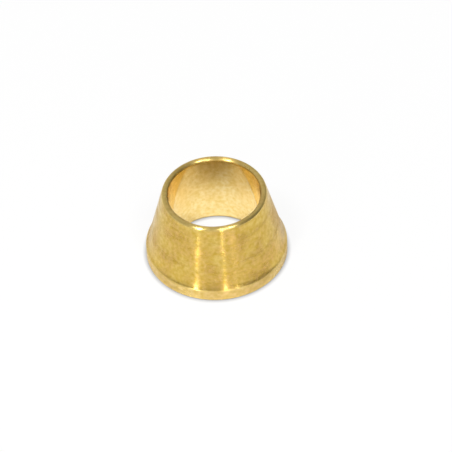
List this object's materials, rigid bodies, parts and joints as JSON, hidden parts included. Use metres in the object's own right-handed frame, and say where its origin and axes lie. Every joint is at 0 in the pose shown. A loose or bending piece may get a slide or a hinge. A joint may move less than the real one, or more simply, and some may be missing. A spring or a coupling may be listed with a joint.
{
  "type": "compression cone",
  "caption": "Turned brass compression cone: a tapered ring with a straight through bore and a short collar at its base, squeezed onto a tube by a union nut to seal it.",
  "frame": {"origin": "centre of the flat base, on the bore's axis", "axes": "+Z along the bore's axis, from the base to the nose; X and Y are alike, because the part is a body of revolution"},
  "size_m": [0.0124, 0.0124, 0.0071],
  "materials": {
    "turned_brass": "fine turned, bare metal"
  },
  "bodies": {
    "root": {"compression_cone": "turned_brass"}
  },
  "joints": []
}
